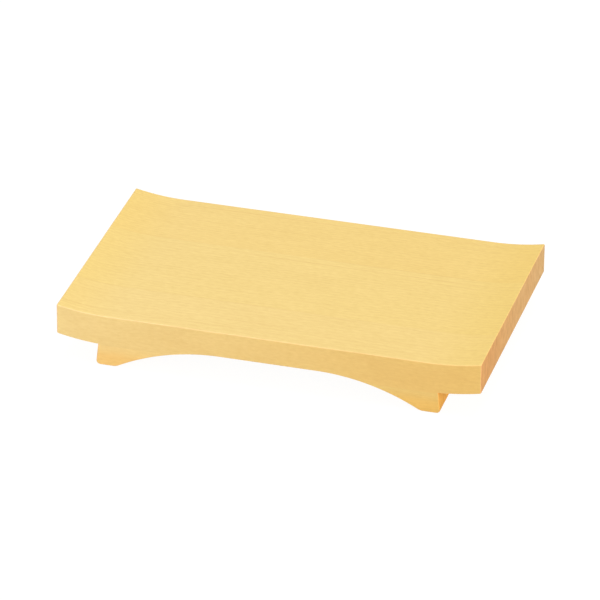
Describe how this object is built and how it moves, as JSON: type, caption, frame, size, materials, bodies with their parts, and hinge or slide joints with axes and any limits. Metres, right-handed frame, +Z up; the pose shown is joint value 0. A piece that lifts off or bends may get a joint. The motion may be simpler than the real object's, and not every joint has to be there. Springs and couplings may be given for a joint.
{
  "type": "sushi geta board",
  "caption": "Low rectangular wooden serving board with upswept ends, standing on full-depth feet joined by a shallow arch, for serving sushi.",
  "frame": {"origin": "on the floor under the middle of the board, at the centre of its footprint", "axes": "+X along the board to the right as pictured, +Y across it to the back, +Z up"},
  "size_m": [0.27, 0.165, 0.0378],
  "materials": {
    "deck_wood": "pale softwood, planed and sanded, thin clear satin coat",
    "foot_wood": "pale softwood, planed and sanded, thin clear satin coat",
    "dowel_wood": "fluted hardwood, uncoated"
  },
  "bodies": {
    "root": {"deck_rear_stave": "deck_wood", "deck_middle_stave": "deck_wood", "deck_front_stave": "deck_wood", "left_foot": "foot_wood", "right_foot": "foot_wood", "left_foot_rear_dowel": "dowel_wood", "left_foot_middle_dowel": "dowel_wood", "left_foot_front_dowel": "dowel_wood", "right_foot_rear_dowel": "dowel_wood", "right_foot_middle_dowel": "dowel_wood", "right_foot_front_dowel": "dowel_wood"}
  },
  "joints": []
}
